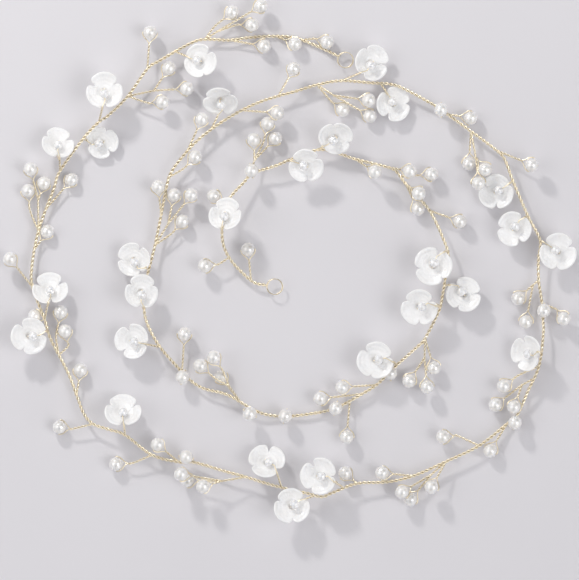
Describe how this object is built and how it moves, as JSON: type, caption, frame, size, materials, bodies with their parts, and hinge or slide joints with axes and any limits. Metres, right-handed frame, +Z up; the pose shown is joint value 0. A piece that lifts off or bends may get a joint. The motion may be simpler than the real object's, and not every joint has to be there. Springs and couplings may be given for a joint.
{
  "type": "hair vine",
  "caption": "Bridal hair vine of twisted gold wire laid in an open coil, with pearls on short twigs, white three-petalled flowers and a round wire eye at each end.",
  "frame": {"origin": "centre of the laid coil's box, on the surface that it lies on", "axes": "+Z up from the surface, +X to the right and +Y away from the viewer's feet as the coil is seen from above"},
  "size_m": [0.207, 0.1891, 0.0156],
  "materials": {
    "gold_wire": "polished pale gold plated craft wire",
    "pearl": "ivory imitation pearl with a soft lustre",
    "petal": "white shell-like resin, faintly translucent, satin"
  },
  "bodies": {
    "root": {"wire_outer": "gold_wire", "wire_inner": "gold_wire", "eye_outer": "gold_wire", "eye_inner": "gold_wire", "pearls_outer": "pearl", "pearls_inner": "pearl", "hearts_outer": "pearl", "hearts_inner": "pearl", "flower_01": "petal", "flower_02": "petal", "flower_03": "petal", "flower_04": "petal", "flower_05": "petal", "flower_06": "petal", "flower_07": "petal", "flower_08": "petal", "flower_09": "petal", "flower_10": "petal", "flower_11": "petal", "flower_12": "petal", "flower_13": "petal", "flower_14": "petal", "flower_15": "petal", "flower_16": "petal", "flower_17": "petal", "flower_18": "petal", "flower_19": "petal", "flower_20": "petal", "flower_21": "petal", "flower_22": "petal", "flower_23": "petal", "flower_24": "petal", "flower_25": "petal", "flower_26": "petal", "flower_27": "petal"}
  },
  "joints": []
}
